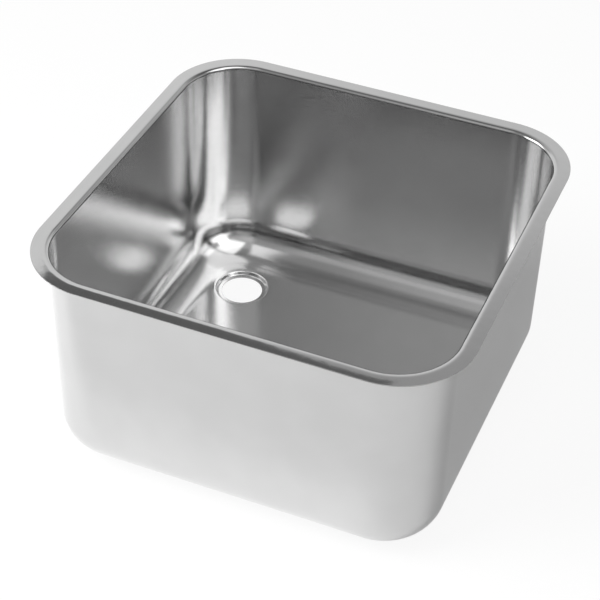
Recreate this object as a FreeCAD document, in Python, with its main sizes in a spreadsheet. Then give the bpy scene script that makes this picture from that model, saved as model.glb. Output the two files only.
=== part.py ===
"""Undermount kitchen sink: a deep-drawn square bowl with what is fixed to its hidden sides.

Frame: +Z up, +X right, +Y to the back. The origin lies under the middle of the flange,
level with the lowest point, which is the underside of the waste recess. Each sub-part is
drawn with its own z = 0 on the top face of the flange and is lifted by its Placement.

The bowl is what a press leaves between a die and a punch: both are one form, and the die
is that form grown by the thickness of the sheet.
"""

import FreeCAD, Part
import math
import os
import Sketcher

TOLERANCE = 0.001  # mm, for finding edges by where they lie

# name, value (mm or degrees), what it measures
SIZES = (
    ("overall_width", 480.0, "outside of the flange, left to right"),
    ("overall_length", 480.0, "outside of the flange, front to back"),
    ("flange_width", 14.5, "flat face of the flange, from its edge to the bend"),
    ("flange_corner_radius", 84.0, "plan radius of the flange's outer corners"),
    ("bend_radius", 4.0, "bend from flange to wall, on the top face"),
    ("wall_corner_radius", 68.0, "plan radius inside the bowl's upright corners"),
    ("wall_draft", 0.3, "degrees by which the walls lean in towards the base"),
    ("sheet", 1.0, "thickness of the pressed sheet"),
    ("bowl_depth", 262.5, "flange top to the top of the base, at the middle"),
    ("cove_radius", 42.5, "cove from wall to base, inside"),
    ("base_fall", 0.6, "degrees by which the base falls to the waste corner"),
    ("waste_bore_diameter", 50.0, "pierced hole for a 1 1/2 inch waste"),
    ("recess_diameter", 67.2, "waste recess, where its rim starts to turn down"),
    ("recess_depth", 4.5, "base to the seat of the recess, at its middle"),
    ("recess_wall_angle", 60.0, "degrees between the recess wall and the level"),
    ("recess_rim_radius", 2.0, "turn from base to recess wall, on the top face"),
    ("recess_seat_radius", 1.5, "turn from recess wall to seat, on the top face"),
    ("waste_margin_left", 2.5, "left cove to the recess rim"),
    ("waste_margin_back", 8.0, "back cove to the recess rim"),
    ("pad_thickness", 2.5, "sound-deadening pad"),
    ("pad_margin", 12.0, "pad's edge in from the start of the cove"),
    ("pad_corner_radius", 12.0, "corners of the pad"),
    ("pad_waste_clearance", 16.0, "pad's edge to the recess rim, room for a back nut"),
    ("tag_offset", 60.0, "earth tag's middle, right of the sink's middle"),
    ("tag_width", 16.0, "earth tag, along the flange"),
    ("tag_thickness", 1.0, "strip that the earth tag is bent from"),
    ("tag_foot", 8.5, "foot of the earth tag, welded under the flange"),
    ("tag_leg", 17.0, "leg of the earth tag, hanging from the flange"),
    ("tag_bend_radius", 1.0, "inside of the earth tag's bend"),
    ("tag_corner_radius", 3.0, "lower corners of the earth tag's leg"),
    ("tag_gap", 4.0, "start of the flange's bend to the tag's leg"),
    ("screw_diameter", 4.0, "earth screw"),
    ("screw_length", 10.0, "earth screw, under its head"),
    ("screw_head_diameter", 7.0, "cheese head of the earth screw"),
    ("screw_head_height", 2.6, "cheese head of the earth screw"),
    ("screw_head_chamfer", 0.4, "chamfer round the head's rim"),
    ("screw_point", 0.5, "chamfer at the screw's end"),
    ("screw_slot_width", 1.2, "slot in the screw's head"),
    ("screw_slot_depth", 1.2, "slot in the screw's head"),
    ("screw_drop", 10.0, "flange's underside to the screw's axis"),
    ("screw_clearance", 0.15, "screw to its holes in tag and washers, on the radius"),
    ("thread_clearance", 0.05, "screw to the nut's thread, on the radius"),
    ("washer_diameter", 9.0, "washers of the earth screw"),
    ("washer_thickness", 0.8, "washers of the earth screw"),
    ("nut_width", 7.0, "nut of the earth screw, across its flats"),
    ("nut_height", 3.2, "nut of the earth screw"),
    ("nut_chamfer", 0.4, "chamfer round both ends of the nut"),
)

# Half widths of the bowl's inside faces where they would meet the flange's plane.
WALL_X = "(sizes.overall_width / 2 - sizes.flange_width - sizes.bend_radius)"
WALL_Y = "(sizes.overall_length / 2 - sizes.flange_width - sizes.bend_radius)"
# How far each wall has leaned in at the base, and the half widths of the flat base.
LEAN = "(sizes.bowl_depth * tan(sizes.wall_draft * 1 deg))"
FLAT_X = f"({WALL_X} - {LEAN} - sizes.cove_radius)"
FLAT_Y = f"({WALL_Y} - {LEAN} - sizes.cove_radius)"
# The waste's upright axis lies this far left of and behind the middle.
WASTE_LEFT = f"({FLAT_X} - sizes.recess_diameter / 2 - sizes.waste_margin_left)"
WASTE_BACK = f"({FLAT_Y} - sizes.recess_diameter / 2 - sizes.waste_margin_back)"
# The base falls along its diagonal to the back left, so at the waste it is lower by:
WASTE_DROP = f"(({WASTE_LEFT} + {WASTE_BACK}) * sqrt(0.5) * tan(sizes.base_fall * 1 deg))"
RECESS_LEVEL = f"(sizes.bowl_depth + {WASTE_DROP})"
SEAT_LEVEL = f"({RECESS_LEVEL} + sizes.recess_depth)"
FLANGE_TOP = f"({SEAT_LEVEL} + sizes.sheet)"
# Where the recess wall would meet the seat if neither of its turns were round.
HALF_TURN = "tan(sizes.recess_wall_angle / 2 * 1 deg)"
WALL_RUN = "(sizes.recess_depth / tan(sizes.recess_wall_angle * 1 deg))"
RIM_EDGE = f"(sizes.recess_diameter / 2 - sizes.recess_rim_radius * {HALF_TURN})"
SEAT_EDGE = f"({RIM_EDGE} - {WALL_RUN})"
# The sound pad's half widths, and the radius that it keeps clear about the waste's axis.
PAD_X = f"({FLAT_X} - sizes.pad_margin)"
PAD_Y = f"({FLAT_Y} - sizes.pad_margin)"
PAD_NOTCH = "(sizes.recess_diameter / 2 + sizes.pad_waste_clearance)"
# The tag's leg faces the wall at this y. The screw lies along Y through the leg.
LEG_FACE = f"({WALL_Y} + sizes.bend_radius + sizes.tag_gap)"
SCREW_LEVEL = "(sizes.sheet + sizes.screw_drop)"
HEAD_SEAT = f"({LEG_FACE} - sizes.washer_thickness)"
NUT_SEAT = f"({LEG_FACE} + sizes.tag_thickness + sizes.washer_thickness)"

NODES = ("bowl", "sound_pad", "earth_tag", "earth_screw", "earth_washers", "earth_nut")


def add_sizes(doc):
    """Make the sheet of driving dimensions."""
    sheet = doc.addObject("Spreadsheet::Sheet", "sizes")
    for row, (name, value, meaning) in enumerate(SIZES, start=1):
        sheet.set(f"A{row}", meaning)
        sheet.set(f"B{row}", str(value))
        sheet.setAlias(f"B{row}", name)
    doc.recompute()


def number(doc, expression):
    """Work out an expression on the sheet as a plain number."""
    result = doc.getObject("sizes").evalExpression(expression)
    return float(getattr(result, "Value", result))


def add_body(doc, name):
    """Make a body with a label of its own."""
    body = doc.addObject("PartDesign::Body", name)
    body.Label = name
    return body


def lift(piece):
    """Raise a piece from the flange's plane to its height above the lowest point."""
    piece.setExpression("Placement.Base.z", FLANGE_TOP)


def origin_plane(body, role):
    """Find one of a body's own origin planes."""
    return next(item for item in body.Origin.OriginFeatures if item.Role == role)


def attach(item, plane, **offsets):
    """Attach a sketch or plane to a plane, moved by expressions along its local axes."""
    item.AttachmentSupport = [(plane, "")]
    item.MapMode = "FlatFace"
    for axis, expression in offsets.items():
        item.setExpression(f"AttachmentOffset.Base.{axis}", expression)
    return item


def add_sketch(body, name, plane, **offsets):
    """Add a sketch to a body on a plane of its own."""
    sketch = body.newObject("Sketcher::SketchObject", name)
    return attach(sketch, plane, **offsets)


def drive(sketch, name, expression, *constraint):
    """Add a constraint and bind its value to the sheet."""
    index = sketch.addConstraint(Sketcher.Constraint(*constraint))
    sketch.renameConstraint(index, name)
    sketch.setExpression(f"Constraints.{name}", expression)


def draw_circle(doc, sketch, radius):
    """Draw a circle about the sketch's own origin."""
    size = number(doc, radius)
    circle = Part.Circle(FreeCAD.Vector(), FreeCAD.Vector(0, 0, 1), size)
    index = sketch.addGeometry(circle)
    sketch.addConstraint(Sketcher.Constraint("Coincident", index, 3, -1, 1))
    drive(sketch, f"radius_{index}", radius, "Radius", index, size)


def draw_outline(doc, sketch, corners):
    """Draw a closed outline through corners, each given by two expressions."""
    points = [FreeCAD.Vector(number(doc, x), number(doc, y), 0) for x, y in corners]
    count = len(points)
    lines = [
        sketch.addGeometry(Part.LineSegment(points[step], points[(step + 1) % count]))
        for step in range(count)
    ]
    for step, line in enumerate(lines):
        following = lines[(step + 1) % count]
        sketch.addConstraint(Sketcher.Constraint("Coincident", line, 2, following, 1))
        along, across = corners[step]
        if along == "0":
            sketch.addConstraint(Sketcher.Constraint("PointOnObject", line, 1, -2))
        else:
            place = points[step].x
            drive(sketch, f"x_{step}", along, "DistanceX", -1, 1, line, 1, place)
        if across == "0":
            sketch.addConstraint(Sketcher.Constraint("PointOnObject", line, 1, -1))
        else:
            place = points[step].y
            drive(sketch, f"y_{step}", across, "DistanceY", -1, 1, line, 1, place)


def draw_rounded_rectangle(doc, sketch, half_x, half_y, radius):
    """Draw a rectangle with round corners about the sketch's own origin."""
    wide = number(doc, half_x)
    high = number(doc, half_y)
    corner = number(doc, radius)
    arcs = []
    for step, (side_x, side_y) in enumerate(((1, 1), (-1, 1), (-1, -1), (1, -1))):
        centre = FreeCAD.Vector(side_x * (wide - corner), side_y * (high - corner), 0)
        circle = Part.Circle(centre, FreeCAD.Vector(0, 0, 1), corner)
        start = step * math.pi / 2
        arcs.append(sketch.addGeometry(Part.ArcOfCircle(circle, start, start + math.pi / 2)))
    for step, arc in enumerate(arcs):
        following = arcs[(step + 1) % len(arcs)]
        ends = (sketch.getPoint(arc, 2), sketch.getPoint(following, 1))
        line = sketch.addGeometry(Part.LineSegment(*ends))
        sketch.addConstraint(Sketcher.Constraint("Tangent", arc, 2, line, 1))
        sketch.addConstraint(Sketcher.Constraint("Tangent", line, 2, following, 1))
        direction = "Horizontal" if step % 2 == 0 else "Vertical"
        sketch.addConstraint(Sketcher.Constraint(direction, line))
    for arc in arcs[1:]:
        sketch.addConstraint(Sketcher.Constraint("Equal", arcs[0], arc))
    sketch.addConstraint(Sketcher.Constraint("Symmetric", arcs[0], 3, arcs[2], 3, -1, 1))
    drive(sketch, "corner", radius, "Radius", arcs[0], corner)
    drive(sketch, "half_width", half_x, "DistanceX", -1, 1, arcs[0], 1, wide)
    drive(sketch, "half_height", half_y, "DistanceY", -1, 1, arcs[0], 2, high)


def add_pad(body, name, sketch, length, reverse=False):
    """Thicken a sketch along its normal, or against it."""
    pad = body.newObject("PartDesign::Pad", name)
    pad.Profile = sketch
    pad.Reversed = reverse
    pad.setExpression("Length", length)
    return pad


def add_revolution(body, name, sketch, axis):
    """Turn a sketch once round one of its own axes."""
    turned = body.newObject("PartDesign::Revolution", name)
    turned.Profile = sketch
    turned.ReferenceAxis = (sketch, [axis])
    turned.Angle = 360
    return turned


def add_pocket(doc, body, name, sketch, length, midplane=False):
    """Cut a sketch into the body, against its normal or both ways."""
    doc.recompute()
    volume = body.Shape.Volume
    pocket = body.newObject("PartDesign::Pocket", name)
    pocket.Profile = sketch
    pocket.Midplane = midplane
    pocket.setExpression("Length", length)
    doc.recompute()
    if body.Shape.Volume >= volume:
        raise ValueError(f"{name} cuts nothing")


def add_fillet(doc, body, name, radius, wanted):
    """Round those edges of the body's last feature that a test on the edge picks out."""
    doc.recompute()
    base = body.Tip
    edges = enumerate(base.Shape.Edges, start=1)
    picked = [f"Edge{index}" for index, edge in edges if wanted(edge)]
    if not picked:
        raise ValueError(f"{name} finds no edge to round")
    fillet = body.newObject("PartDesign::Fillet", name)
    fillet.Base = (base, picked)
    fillet.setExpression("Radius", radius)
    doc.recompute()


def lies_in(plane, edge):
    """Say whether an edge lies in a datum plane."""
    local = plane.Placement.inverse()
    return all(abs(local.multVec(point).z) < TOLERANCE for point in edge.discretize(5))


def is_upright(edge):
    """Say whether an edge is a straight line that runs mostly up and down."""
    start = edge.firstVertex().Point
    end = edge.lastVertex().Point
    rise = abs(end.z - start.z)
    return edge.Curve.TypeId == "Part::GeomLine" and rise > 0.9 * start.distanceToPoint(end)


def add_base_plane(doc, body, growth):
    """Add the plane of the falling base, moved down along its normal by the growth."""
    name = body.Label
    fall = body.newObject("PartDesign::Plane", f"{name}_fall")
    angle = number(doc, "sizes.base_fall")
    tilt = FreeCAD.Rotation(FreeCAD.Vector(-1, -1, 0), angle)
    fall.AttachmentOffset = FreeCAD.Placement(FreeCAD.Vector(), tilt)
    attach(fall, origin_plane(body, "XY_Plane"), z="-sizes.bowl_depth")
    fall.setExpression("AttachmentOffset.Rotation.Angle", "sizes.base_fall")
    floor = body.newObject("PartDesign::Plane", f"{name}_floor")
    attach(floor, fall, z=f"-({growth})")
    return floor


def add_block(doc, body, floor, growth):
    """Add the flange's slab, and the block from it down to the base's plane."""
    name = body.Label
    level = origin_plane(body, "XY_Plane")
    edge = add_sketch(body, f"{name}_flange_outline", level, z=f"-({growth})")
    half_x = "sizes.overall_width / 2"
    half_y = "sizes.overall_length / 2"
    draw_rounded_rectangle(doc, edge, half_x, half_y, "sizes.flange_corner_radius")
    add_pad(body, f"{name}_slab", edge, "sizes.sheet")

    walls = add_sketch(body, f"{name}_wall_outline", level, z=f"-({growth})")
    half_x = f"{WALL_X} + {growth}"
    half_y = f"{WALL_Y} + {growth}"
    draw_rounded_rectangle(doc, walls, half_x, half_y, f"sizes.wall_corner_radius + {growth}")
    block = body.newObject("PartDesign::Pad", f"{name}_block")
    block.Profile = walls
    block.Reversed = True
    block.Type = "UpToFace"
    block.UpToFace = (floor, [""])
    doc.recompute()


def lean_walls(doc, body, floor):
    """Give the block's walls their draft, from the flange's top face down."""
    base = body.Tip
    sides = []
    for index, face in enumerate(base.Shape.Faces, start=1):
        in_floor = [lies_in(floor, edge) for edge in face.Edges]
        if any(in_floor) and not all(in_floor):
            sides.append(f"Face{index}")
    draft = body.newObject("PartDesign::Draft", f"{body.Label}_draft")
    draft.Base = (base, sides)
    draft.NeutralPlane = (origin_plane(body, "XY_Plane"), [""])
    draft.Reversed = True
    draft.setExpression("Angle", "sizes.wall_draft")
    doc.recompute()
    if draft.Shape.Volume >= base.Shape.Volume:
        raise ValueError("the walls lean out")


def round_block(doc, body, floor, growth):
    """Round the block into its cove at the base and its bend at the flange."""
    grown = number(doc, growth)
    reach_x = number(doc, WALL_X) + grown + TOLERANCE
    reach_y = number(doc, WALL_Y) + grown + TOLERANCE

    def meets_slab(edge):
        return all(
            abs(point.z + grown) < TOLERANCE and abs(point.x) < reach_x and abs(point.y) < reach_y
            for point in edge.discretize(5)
        )

    cove = f"sizes.cove_radius + {growth}"
    add_fillet(doc, body, f"{body.Label}_cove", cove, lambda edge: lies_in(floor, edge))
    add_fillet(doc, body, f"{body.Label}_bend", f"sizes.bend_radius - {growth}", meets_slab)


def add_recess(doc, body, floor, growth):
    """Sink the cone of the waste recess below the base and round both of its turns."""
    name = body.Label
    upright = origin_plane(body, "XZ_Plane")
    place = {"x": f"-{WASTE_LEFT}", "y": f"-{RECESS_LEVEL}", "z": f"-{WASTE_BACK}"}
    profile = add_sketch(body, f"{name}_recess_profile", upright, **place)
    low = f"-(sizes.recess_depth + {growth})"
    seat = f"{SEAT_EDGE} + {growth} * {HALF_TURN}"
    top = f"{seat} + 2 * {WALL_RUN} + {growth} / tan(sizes.recess_wall_angle * 1 deg)"
    corners = (("0", low), (seat, low), (top, "sizes.recess_depth"), ("0", "sizes.recess_depth"))
    draw_outline(doc, profile, corners)
    add_revolution(body, f"{name}_recess", profile, "V_Axis")
    doc.recompute()

    rim = number(doc, f"sizes.recess_diameter / 2 + {growth}")
    centre_x = -number(doc, WASTE_LEFT)
    centre_y = number(doc, WASTE_BACK)
    seat_level = -number(doc, f"{SEAT_LEVEL} + {growth}")

    def is_rim(edge):
        near = all(
            math.hypot(point.x - centre_x, point.y - centre_y) < rim
            for point in edge.discretize(5)
        )
        return near and lies_in(floor, edge)

    def is_seat(edge):
        return all(abs(point.z - seat_level) < TOLERANCE for point in edge.discretize(5))

    rim_turn = f"sizes.recess_rim_radius - {growth}"
    seat_turn = f"sizes.recess_seat_radius + {growth}"
    add_fillet(doc, body, f"{name}_recess_rim", rim_turn, is_rim)
    add_fillet(doc, body, f"{name}_recess_seat", seat_turn, is_seat)


def make_form(doc, name, growth):
    """Make one form of the press: the punch with no growth, the die with the sheet's."""
    body = add_body(doc, name)
    floor = add_base_plane(doc, body, growth)
    add_block(doc, body, floor, growth)
    lean_walls(doc, body, floor)
    round_block(doc, body, floor, growth)
    add_recess(doc, body, floor, growth)
    return body


def make_bowl(doc):
    """Make the pressing: the die less the punch, whose pin pierces the waste hole."""
    die = make_form(doc, "die", "sizes.sheet")
    punch = make_form(doc, "punch", "0")
    level = origin_plane(punch, "XY_Plane")
    place = {"x": f"-{WASTE_LEFT}", "y": WASTE_BACK, "z": f"-{SEAT_LEVEL}"}
    hole = add_sketch(punch, "waste_hole", level, **place)
    draw_circle(doc, hole, "sizes.waste_bore_diameter / 2")
    add_pad(punch, "piercing_pin", hole, "2 * sizes.sheet", reverse=True)

    bowl = doc.addObject("Part::Cut", "bowl")
    bowl.Label = "bowl"
    bowl.Base = die
    bowl.Tool = punch
    lift(bowl)


def make_sound_pad(doc):
    """Make the pad under the base, with a notch that clears the waste and its back nut."""
    body = add_body(doc, "sound_pad")
    floor = add_base_plane(doc, body, "sizes.sheet")
    outline = add_sketch(body, "pad_outline", floor)
    notch_x = f"-{WASTE_LEFT} + {PAD_NOTCH}"
    notch_y = f"{WASTE_BACK} - {PAD_NOTCH}"
    corners = (
        (PAD_X, f"-{PAD_Y}"),
        (PAD_X, PAD_Y),
        (notch_x, PAD_Y),
        (notch_x, notch_y),
        (f"-{PAD_X}", notch_y),
        (f"-{PAD_X}", f"-{PAD_Y}"),
    )
    draw_outline(doc, outline, corners)
    add_pad(body, "pad_sheet", outline, "sizes.pad_thickness", reverse=True)
    inner_x = number(doc, notch_x)
    inner_y = number(doc, notch_y)

    def is_notch(edge):
        middle = edge.CenterOfMass
        reach = number(doc, "sizes.pad_thickness")
        return is_upright(edge) and math.hypot(middle.x - inner_x, middle.y - inner_y) < reach

    def is_corner(edge):
        return is_upright(edge) and not lies_on_notch(edge)

    def lies_on_notch(edge):
        middle = edge.CenterOfMass
        axis_x = middle.x + number(doc, WASTE_LEFT)
        axis_y = middle.y - number(doc, WASTE_BACK)
        return math.hypot(axis_x, axis_y) < number(doc, PAD_NOTCH) + TOLERANCE

    add_fillet(doc, body, "pad_notch", PAD_NOTCH, is_notch)
    add_fillet(doc, body, "pad_corners", "sizes.pad_corner_radius", is_corner)
    lift(body)


def make_earth_tag(doc):
    """Make the bent strip under the flange, with a hole through its hanging leg."""
    body = add_body(doc, "earth_tag")
    across = origin_plane(body, "YZ_Plane")
    place = {"x": LEG_FACE, "y": "-sizes.sheet", "z": "sizes.tag_offset"}
    profile = add_sketch(body, "tag_profile", across, **place)
    corners = (
        ("0", "0"),
        ("0", "-sizes.tag_leg"),
        ("sizes.tag_thickness", "-sizes.tag_leg"),
        ("sizes.tag_thickness", "-sizes.tag_thickness"),
        ("sizes.tag_foot", "-sizes.tag_thickness"),
        ("sizes.tag_foot", "0"),
    )
    draw_outline(doc, profile, corners)
    strip = add_pad(body, "tag_strip", profile, "sizes.tag_width")
    strip.Midplane = True
    leg_y = number(doc, LEG_FACE)
    top = -number(doc, "sizes.sheet")
    thickness = number(doc, "sizes.tag_thickness")

    def runs_at(edge, y, z):
        return all(
            abs(point.y - y) < TOLERANCE and abs(point.z - z) < TOLERANCE
            for point in edge.discretize(3)
        )

    def is_outside(edge):
        return runs_at(edge, leg_y, top)

    def is_inside(edge):
        return runs_at(edge, leg_y + thickness, top - thickness)

    def is_leg_corner(edge):
        low = top - number(doc, "sizes.tag_leg")
        middle = edge.CenterOfMass
        beside = abs(abs(middle.x - number(doc, "sizes.tag_offset")) - number(doc, "sizes.tag_width") / 2)
        return abs(middle.z - low) < TOLERANCE and beside < TOLERANCE

    outside = "sizes.tag_bend_radius + sizes.tag_thickness"
    add_fillet(doc, body, "tag_bend_outside", outside, is_outside)
    add_fillet(doc, body, "tag_bend_inside", "sizes.tag_bend_radius", is_inside)
    add_fillet(doc, body, "tag_leg_corners", "sizes.tag_corner_radius", is_leg_corner)

    upright = origin_plane(body, "XZ_Plane")
    place = {"x": "sizes.tag_offset", "y": f"-{SCREW_LEVEL}", "z": f"-{LEG_FACE}"}
    hole = add_sketch(body, "tag_hole", upright, **place)
    draw_circle(doc, hole, "sizes.screw_diameter / 2 + sizes.screw_clearance")
    add_pocket(doc, body, "tag_bore", hole, "4 * sizes.tag_thickness", midplane=True)
    lift(body)


def make_earth_screw(doc):
    """Make the slotted cheese-head screw that points to the back."""
    body = add_body(doc, "earth_screw")
    across = origin_plane(body, "YZ_Plane")
    place = {"x": HEAD_SEAT, "y": f"-{SCREW_LEVEL}", "z": "sizes.tag_offset"}
    profile = add_sketch(body, "screw_profile", across, **place)
    corners = (
        ("-sizes.screw_head_height", "0"),
        ("sizes.screw_length", "0"),
        ("sizes.screw_length", "sizes.screw_diameter / 2 - sizes.screw_point"),
        ("sizes.screw_length - sizes.screw_point", "sizes.screw_diameter / 2"),
        ("0", "sizes.screw_diameter / 2"),
        ("0", "sizes.screw_head_diameter / 2"),
        ("sizes.screw_head_chamfer - sizes.screw_head_height", "sizes.screw_head_diameter / 2"),
        ("-sizes.screw_head_height", "sizes.screw_head_diameter / 2 - sizes.screw_head_chamfer"),
    )
    draw_outline(doc, profile, corners)
    add_revolution(body, "screw_turned", profile, "H_Axis")
    upright = origin_plane(body, "XZ_Plane")
    top = f"-({HEAD_SEAT} - sizes.screw_head_height)"
    place = {"x": "sizes.tag_offset", "y": f"-{SCREW_LEVEL}", "z": top}
    slot = add_sketch(body, "screw_slot_outline", upright, **place)
    half_length = "sizes.screw_head_diameter"
    half_width = "sizes.screw_slot_width / 2"
    corners = (
        (half_length, f"-{half_width}"),
        (half_length, half_width),
        (f"-{half_length}", half_width),
        (f"-{half_length}", f"-{half_width}"),
    )
    draw_outline(doc, slot, corners)
    add_pocket(doc, body, "screw_slot", slot, "sizes.screw_slot_depth")
    lift(body)


def make_earth_washers(doc):
    """Make the two washers, one on each side of the tag's leg."""
    body = add_body(doc, "earth_washers")
    upright = origin_plane(body, "XZ_Plane")
    place = {"x": "sizes.tag_offset", "y": f"-{SCREW_LEVEL}", "z": f"-{HEAD_SEAT}"}
    ring = add_sketch(body, "washer_outline", upright, **place)
    draw_circle(doc, ring, "sizes.washer_diameter / 2")
    draw_circle(doc, ring, "sizes.screw_diameter / 2 + sizes.screw_clearance")
    washer = add_pad(body, "washer", ring, "sizes.washer_thickness", reverse=True)
    doc.recompute()
    pair = body.newObject("PartDesign::LinearPattern", "washer_pair")
    pair.Originals = [washer]
    pair.Direction = (ring, ["N_Axis"])
    pair.Reversed = True
    pair.Occurrences = 2
    pair.setExpression("Length", "sizes.washer_thickness + sizes.tag_thickness")
    body.Tip = pair
    lift(body)


def make_earth_nut(doc):
    """Make the nut: a bored and chamfered disc cut to a hexagon."""
    blank = add_body(doc, "nut_blank")
    across = origin_plane(blank, "YZ_Plane")
    place = {"x": NUT_SEAT, "y": f"-{SCREW_LEVEL}", "z": "sizes.tag_offset"}
    profile = add_sketch(blank, "nut_profile", across, **place)
    bore = "sizes.screw_diameter / 2 + sizes.thread_clearance"
    corner = "sizes.nut_width / sqrt(3)"
    corners = (
        ("0", bore),
        ("sizes.nut_height", bore),
        ("sizes.nut_height", f"{corner} - sizes.nut_chamfer"),
        ("sizes.nut_height - sizes.nut_chamfer / 2", corner),
        ("sizes.nut_chamfer / 2", corner),
        ("0", f"{corner} - sizes.nut_chamfer"),
    )
    draw_outline(doc, profile, corners)
    add_revolution(blank, "nut_turned", profile, "H_Axis")

    hexagon = doc.addObject("Part::Prism", "nut_hexagon")
    hexagon.Polygon = 6
    hexagon.Placement.Rotation = FreeCAD.Rotation(FreeCAD.Vector(1, 0, 0), -90)
    hexagon.setExpression("Circumradius", corner)
    hexagon.setExpression("Height", "sizes.nut_height")
    hexagon.setExpression("Placement.Base.x", "sizes.tag_offset")
    hexagon.setExpression("Placement.Base.y", NUT_SEAT)
    hexagon.setExpression("Placement.Base.z", f"-{SCREW_LEVEL}")

    nut = doc.addObject("Part::Common", "earth_nut")
    nut.Label = "earth_nut"
    nut.Base = blank
    nut.Tool = hexagon
    lift(nut)


def check(doc):
    """Stop if any object failed or any sub-part has a bad shape."""
    for item in doc.Objects:
        if {"Invalid", "Error"} & set(item.State):
            raise ValueError(f"{item.Name} failed: {item.State}")
    for name in NODES:
        shape = doc.getObject(name).Shape
        if shape.isNull() or not shape.isValid():
            raise ValueError(f"{name} has a bad shape")


def write(doc):
    """Write each sub-part to a file of its own name."""
    os.makedirs("parts", exist_ok=True)
    for name in NODES:
        piece = doc.getObject(name)
        piece.Shape.exportStep(f"parts/{piece.Label}.step")
        box = piece.Shape.BoundBox
        print(name, len(piece.Shape.Solids), "solids", round(piece.Shape.Volume, 1), "mm3", box)


def main():
    """Build every sub-part, check it and write it."""
    doc = FreeCAD.newDocument("undermount_sink")
    add_sizes(doc)
    make_bowl(doc)
    make_sound_pad(doc)
    make_earth_tag(doc)
    make_earth_screw(doc)
    make_earth_washers(doc)
    make_earth_nut(doc)
    doc.recompute()
    check(doc)
    write(doc)


main()
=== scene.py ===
"""Looks of an undermount kitchen sink: a drawn steel bowl, its damping pad and its earth bond."""

from __future__ import annotations

import logging
import math
from dataclasses import dataclass, field
from enum import Enum, IntEnum
from typing import Any, Mapping, Sequence

import bpy
import numpy as np
from mathutils import Euler, Matrix, Vector


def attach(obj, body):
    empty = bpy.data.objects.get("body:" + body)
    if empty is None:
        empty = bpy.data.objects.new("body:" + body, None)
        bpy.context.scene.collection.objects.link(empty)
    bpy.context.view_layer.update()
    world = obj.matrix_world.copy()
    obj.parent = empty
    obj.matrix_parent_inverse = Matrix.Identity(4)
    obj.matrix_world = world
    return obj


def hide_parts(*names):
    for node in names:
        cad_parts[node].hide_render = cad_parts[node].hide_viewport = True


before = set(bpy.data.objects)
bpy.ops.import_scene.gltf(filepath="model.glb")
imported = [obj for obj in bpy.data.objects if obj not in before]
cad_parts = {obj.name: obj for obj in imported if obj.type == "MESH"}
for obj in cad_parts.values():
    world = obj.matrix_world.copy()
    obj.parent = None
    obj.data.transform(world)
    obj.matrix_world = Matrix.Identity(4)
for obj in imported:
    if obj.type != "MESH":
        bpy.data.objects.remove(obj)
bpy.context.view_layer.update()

LOG = logging.getLogger("sink")
MM = 0.001
QUARTER = 0.5 * math.pi
WHITE = (1.0, 1.0, 1.0, 1.0)
Array = np.ndarray
Colour = tuple[float, float, float]
Rows = tuple[Array, Array]


class Skin(Enum):
    """The two faces of the sheet: 1 for the one that faces up and in, -1 for the other."""

    TOP = 1.0
    UNDER = -1.0

    @property
    def below(self) -> float:
        """How far the face lies below the top one, in sheet thicknesses."""
        return 0.5 * (1.0 - self.value)


class Ray(Enum):
    """What a ray is sent out for, by the name of its Light Path socket."""

    CAMERA = "Is Camera Ray"
    DIFFUSE = "Is Diffuse Ray"
    GLOSSY = "Is Glossy Ray"


class Slot(IntEnum):
    """The bowl's material slots."""

    WALL = 0
    CUT = 1
    DECK = 2


class Value:
    """A node's output socket that takes part in sums as a number does."""

    def __init__(self, bench: "Bench", socket: bpy.types.NodeSocket) -> None:
        """Keeps the bench that the socket's node lies on, and the socket."""
        self.bench = bench
        self.socket = socket

    def _sum(self, operation: str, first: Any, second: Any) -> "Value":
        """Adds one Math node.

        Args:
            operation: The Math node's operation.
            first: Its first term, a Value or a number.
            second: Its second term, a Value or a number.

        Returns:
            The node's result.
        """
        return self.bench.read(
            "ShaderNodeMath", "Value", {"operation": operation}, {0: first, 1: second}
        )

    def __add__(self, other: Any) -> "Value":
        """Gives the sum."""
        return self._sum("ADD", self, other)

    def __radd__(self, other: Any) -> "Value":
        """Gives the sum with a number on the left."""
        return self._sum("ADD", other, self)

    def __sub__(self, other: Any) -> "Value":
        """Gives the difference."""
        return self._sum("SUBTRACT", self, other)

    def __rsub__(self, other: Any) -> "Value":
        """Gives the difference from a number on the left."""
        return self._sum("SUBTRACT", other, self)

    def __mul__(self, other: Any) -> "Value":
        """Gives the product."""
        return self._sum("MULTIPLY", self, other)

    def __rmul__(self, other: Any) -> "Value":
        """Gives the product with a number on the left."""
        return self._sum("MULTIPLY", other, self)

    def __truediv__(self, other: Any) -> "Value":
        """Gives the quotient."""
        return self._sum("DIVIDE", self, other)

    def bounced(self, span: float) -> "Value":
        """Runs up from 0 to the span and back, over and over."""
        return self._sum("PINGPONG", self, span)

    def eased(self, low: float, high: float) -> "Value":
        """Runs smoothly from 0 at low to 1 at high."""
        return self.bench.read(
            "ShaderNodeMapRange",
            "Result",
            {"interpolation_type": "SMOOTHSTEP"},
            {"Value": self, "From Min": low, "From Max": high},
        )


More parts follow.
